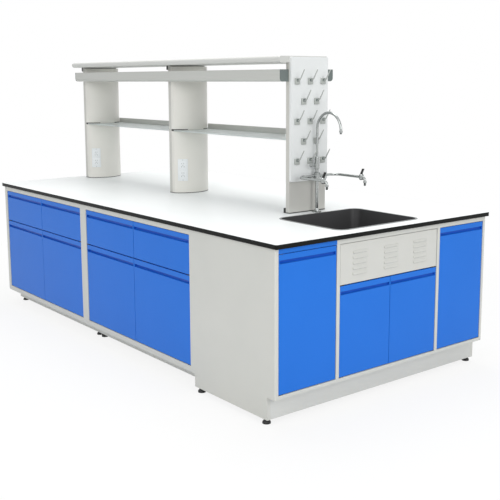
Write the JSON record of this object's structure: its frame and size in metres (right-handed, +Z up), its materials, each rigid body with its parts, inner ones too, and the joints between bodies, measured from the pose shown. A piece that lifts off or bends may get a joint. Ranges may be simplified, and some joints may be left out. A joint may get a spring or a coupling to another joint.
{
  "type": "lab bench with sink",
  "caption": "Island laboratory bench with drawers and cupboards on both long sides, a sink with a three-outlet tap at one end and a glass-shelved reagent rack.",
  "frame": {"origin": "on the floor under the middle of the worktop", "axes": "+X along the bench towards the sink end, -Y towards the near long side, +Z up"},
  "size_m": [3, 1.5, 1.679],
  "materials": {
    "worktop_laminate": "satin",
    "sink_polypropylene": "satin",
    "rim_trim": "satin",
    "waste_plastic": "matte",
    "tap_chrome": "polished",
    "lever_black": "satin",
    "carcass_board": "laminated",
    "front_blue": "lacquered, satin",
    "vent_sheet": "powder coated",
    "plinth_grey": "matte",
    "foot_black": "matte",
    "runner_steel": "zinc plated",
    "rack_metal": "powder coated",
    "cover_plastic": "satin",
    "rack_aluminium": "anodised",
    "cap_grey": "matte",
    "rack_board": "laminated",
    "shelf_glass": "polished",
    "fitting_black": "matte",
    "socket_white": "gloss",
    "pegboard_white": "satin",
    "peg_grey": "satin",
    "drawer_board": "laminated"
  },
  "bodies": {
    "bench": {"worktop": "worktop_laminate", "sink_basin": "sink_polypropylene", "sink_rim": "rim_trim", "sink_waste": "waste_plastic", "tap_column": "tap_chrome", "tap_arms": "tap_chrome", "cabinet_near_1": "carcass_board", "cabinet_near_2": "carcass_board", "cabinet_far_1": "carcass_board", "cabinet_far_2": "carcass_board", "sink_cabinet": "carcass_board", "near_bay_top_rail": "front_blue", "vented_panel": "vent_sheet", "toe_kicks": "plinth_grey", "levelling_feet": "foot_black", "drawer_runners": "runner_steel", "hinge_pivots": "fitting_black", "rack_posts": "rack_metal", "post_covers": "cover_plastic", "rack_beams": "rack_aluminium", "beam_end_caps": "cap_grey", "top_board": "rack_board", "glass_shelves": "shelf_glass", "shelf_guard_rails": "rack_aluminium", "rack_fittings": "fitting_black", "socket_plates": "socket_white", "pegboard": "pegboard_white", "drying_pegs": "peg_grey"},
    "drawer_near_1": {"drawer_front_near_1": "front_blue", "drawer_box_near_1": "drawer_board"},
    "door_near_1": {"door_near_1": "front_blue"},
    "drawer_near_2": {"drawer_front_near_2": "front_blue", "drawer_box_near_2": "drawer_board"},
    "door_near_2": {"door_near_2": "front_blue"},
    "drawer_near_3": {"drawer_front_near_3": "front_blue", "drawer_box_near_3": "drawer_board"},
    "door_near_3": {"door_near_3": "front_blue"},
    "drawer_near_4": {"drawer_front_near_4": "front_blue", "drawer_box_near_4": "drawer_board"},
    "door_near_4": {"door_near_4": "front_blue"},
    "drawer_far_1": {"drawer_front_far_1": "front_blue", "drawer_box_far_1": "drawer_board"},
    "door_far_1": {"door_far_1": "front_blue"},
    "drawer_far_2": {"drawer_front_far_2": "front_blue", "drawer_box_far_2": "drawer_board"},
    "door_far_2": {"door_far_2": "front_blue"},
    "drawer_far_3": {"drawer_front_far_3": "front_blue", "drawer_box_far_3": "drawer_board"},
    "door_far_3": {"door_far_3": "front_blue"},
    "drawer_far_4": {"drawer_front_far_4": "front_blue", "drawer_box_far_4": "drawer_board"},
    "door_far_4": {"door_far_4": "front_blue"},
    "door_end_near": {"door_end_near": "front_blue"},
    "door_end_sink_near": {"door_end_sink_near": "front_blue"},
    "door_end_sink_far": {"door_end_sink_far": "front_blue"},
    "door_end_far": {"door_end_far": "front_blue"},
    "gooseneck": {"tap_gooseneck": "tap_chrome"},
    "neck_lever": {"neck_valve_lever": "tap_chrome"},
    "near_arm_lever": {"near_arm_lever": "lever_black"},
    "far_arm_lever": {"far_arm_lever": "lever_black"}
  },
  "joints": [
    {"name": "drawer_near_1_slide", "type": "slide", "parent": "bench", "child": "drawer_near_1", "axis": [0, -1, 0], "range_m": [0, 0.4]},
    {"name": "door_near_1_hinge", "type": "hinge", "parent": "bench", "child": "door_near_1", "pos_m": [-1.416, -0.731, 0.35], "axis": [0, 0, -1], "range_deg": [0, 90]},
    {"name": "drawer_near_2_slide", "type": "slide", "parent": "bench", "child": "drawer_near_2", "axis": [0, -1, 0], "range_m": [0, 0.4]},
    {"name": "door_near_2_hinge", "type": "hinge", "parent": "bench", "child": "door_near_2", "pos_m": [-0.364, -0.731, 0.35], "axis": [0, 0, 1], "range_deg": [0, 90]},
    {"name": "drawer_near_3_slide", "type": "slide", "parent": "bench", "child": "drawer_near_3", "axis": [0, -1, 0], "range_m": [0, 0.4]},
    {"name": "door_near_3_hinge", "type": "hinge", "parent": "bench", "child": "door_near_3", "pos_m": [-0.256, -0.731, 0.35], "axis": [0, 0, -1], "range_deg": [0, 90]},
    {"name": "drawer_near_4_slide", "type": "slide", "parent": "bench", "child": "drawer_near_4", "axis": [0, -1, 0], "range_m": [0, 0.4]},
    {"name": "door_near_4_hinge", "type": "hinge", "parent": "bench", "child": "door_near_4", "pos_m": [0.796, -0.731, 0.35], "axis": [0, 0, 1], "range_deg": [0, 90]},
    {"name": "drawer_far_1_slide", "type": "slide", "parent": "bench", "child": "drawer_far_1", "axis": [0, 1, 0], "range_m": [0, 0.4]},
    {"name": "door_far_1_hinge", "type": "hinge", "parent": "bench", "child": "door_far_1", "pos_m": [-1.416, 0.731, 0.35], "axis": [0, 0, 1], "range_deg": [0, 90]},
    {"name": "drawer_far_2_slide", "type": "slide", "parent": "bench", "child": "drawer_far_2", "axis": [0, 1, 0], "range_m": [0, 0.4]},
    {"name": "door_far_2_hinge", "type": "hinge", "parent": "bench", "child": "door_far_2", "pos_m": [-0.364, 0.731, 0.35], "axis": [0, 0, -1], "range_deg": [0, 90]},
    {"name": "drawer_far_3_slide", "type": "slide", "parent": "bench", "child": "drawer_far_3", "axis": [0, 1, 0], "range_m": [0, 0.4]},
    {"name": "door_far_3_hinge", "type": "hinge", "parent": "bench", "child": "door_far_3", "pos_m": [-0.256, 0.731, 0.35], "axis": [0, 0, 1], "range_deg": [0, 90]},
    {"name": "drawer_far_4_slide", "type": "slide", "parent": "bench", "child": "drawer_far_4", "axis": [0, 1, 0], "range_m": [0, 0.4]},
    {"name": "door_far_4_hinge", "type": "hinge", "parent": "bench", "child": "door_far_4", "pos_m": [0.796, 0.731, 0.35], "axis": [0, 0, -1], "range_deg": [0, 90]},
    {"name": "door_end_near_hinge", "type": "hinge", "parent": "bench", "child": "door_end_near", "pos_m": [1.471, -0.702, 0.4], "axis": [0, 0, -1], "range_deg": [0, 90]},
    {"name": "door_end_sink_near_hinge", "type": "hinge", "parent": "bench", "child": "door_end_sink_near", "pos_m": [1.471, -0.327, 0.4], "axis": [0, 0, -1], "range_deg": [0, 90]},
    {"name": "door_end_sink_far_hinge", "type": "hinge", "parent": "bench", "child": "door_end_sink_far", "pos_m": [1.471, 0.327, 0.4], "axis": [0, 0, 1], "range_deg": [0, 90]},
    {"name": "door_end_far_hinge", "type": "hinge", "parent": "bench", "child": "door_end_far", "pos_m": [1.471, 0.702, 0.4], "axis": [0, 0, 1], "range_deg": [0, 90]},
    {"name": "gooseneck_swivel", "type": "hinge", "parent": "bench", "child": "gooseneck", "pos_m": [0.912, 0.026, 1.126], "axis": [0, 0, 1], "range_deg": [-45, 45]},
    {"name": "neck_valve_turn", "type": "hinge", "parent": "bench", "child": "neck_lever", "pos_m": [0.912, 0.012, 1.1], "axis": [0, 1, 0], "range_deg": [0, 90]},
    {"name": "near_arm_valve_turn", "type": "hinge", "parent": "bench", "child": "near_arm_lever", "pos_m": [1.11, -0.111, 1.062], "axis": [0, 0, -1], "range_deg": [0, 90]},
    {"name": "far_arm_valve_turn", "type": "hinge", "parent": "bench", "child": "far_arm_lever", "pos_m": [1.11, 0.163, 1.062], "axis": [0, 0, 1], "range_deg": [0, 90]}
  ]
}
